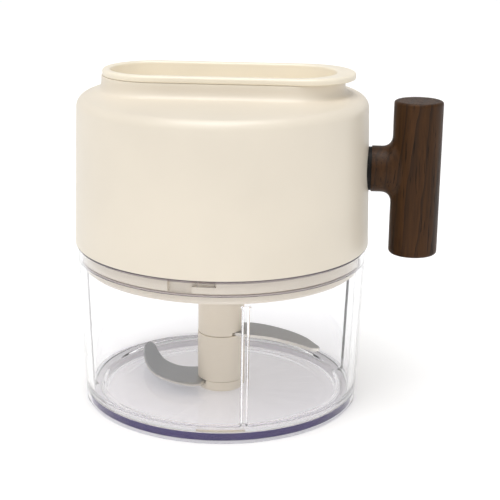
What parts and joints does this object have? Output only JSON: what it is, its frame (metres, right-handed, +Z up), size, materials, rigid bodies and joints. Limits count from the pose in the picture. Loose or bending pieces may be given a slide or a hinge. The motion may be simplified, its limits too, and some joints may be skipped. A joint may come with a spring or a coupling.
{
  "type": "crank food chopper",
  "caption": "Hand-cranked food chopper: clear bowl, moulded head with a crown gear and pinion, wooden T handle, and a column of sickle blades.",
  "frame": {"origin": "centre of the bowl's flat underside, on the axis of the bowl and the blades", "axes": "+X from the bowl's axis out along the crank to the T handle, +Y across to the back, +Z up along the blades' axis"},
  "size_m": [0.1552, 0.126, 0.1435],
  "materials": {
    "clear_plastic": "clear, polished, faint lavender tint",
    "cream_plastic": "satin gloss moulding",
    "beige_plastic": "satin moulding",
    "nylon": "natural nylon",
    "black_plastic": "moulded, dull",
    "indigo_rubber": "matt, soft",
    "seal_rubber": "matt silicone",
    "steel": "turned and stamped stainless steel",
    "blade_steel": "satin ground stainless steel",
    "dark_wood": "dark walnut, oiled"
  },
  "bodies": {
    "bowl_unit": {"bowl": "clear_plastic", "foot_ring": "indigo_rubber", "pivot_pin": "steel"},
    "seal": {"seal_ring": "seal_rubber"},
    "head": {"housing": "cream_plastic", "inner_cover": "cream_plastic", "gear_frame": "nylon", "crank_collar": "black_plastic", "inner_bush": "nylon", "upper_bush": "nylon", "lower_bush": "nylon", "cover_screw_1": "steel", "cover_screw_2": "steel", "cover_screw_3": "steel", "cover_screw_4": "steel", "frame_screw_1": "steel", "frame_screw_2": "steel", "frame_screw_3": "steel", "frame_screw_4": "steel"},
    "lid": {"top_lid": "cream_plastic"},
    "crank": {"crank_handle": "dark_wood", "crank_shaft": "steel", "crown_gear": "nylon", "crank_washer": "steel", "crank_clip": "steel", "gear_screw": "steel"},
    "blade_unit": {"blade_shaft": "steel", "pinion": "nylon", "shaft_clip": "steel", "column_upper": "beige_plastic", "column_lower": "beige_plastic", "column_foot": "beige_plastic", "upper_blade": "blade_steel", "lower_blade": "blade_steel"}
  },
  "joints": [
    {"name": "head_twist", "type": "hinge", "parent": "bowl_unit", "child": "seal", "pos_m": [0, 0, 0.0638], "axis": [0, 0, 1], "range_deg": [0, 11.2]},
    {"name": "head_lift", "type": "slide", "parent": "seal", "child": "head", "axis": [0, 0, 1], "range_m": [0, 0.13]},
    {"name": "lid_lift", "type": "slide", "parent": "head", "child": "lid", "axis": [0, 0, 1], "range_m": [0, 0.03]},
    {"name": "crank_spin", "type": "hinge", "parent": "head", "child": "crank", "pos_m": [0.03, 0, 0.103], "axis": [1, 0, 0], "continuous": true},
    {"name": "blade_spin", "type": "hinge", "parent": "head", "child": "blade_unit", "pos_m": [0, 0, 0.07], "axis": [0, 0, 1], "continuous": true}
  ],
  "couplings": [
    {"joint": "blade_spin", "follows": "crank_spin", "ratio": 4}
  ]
}
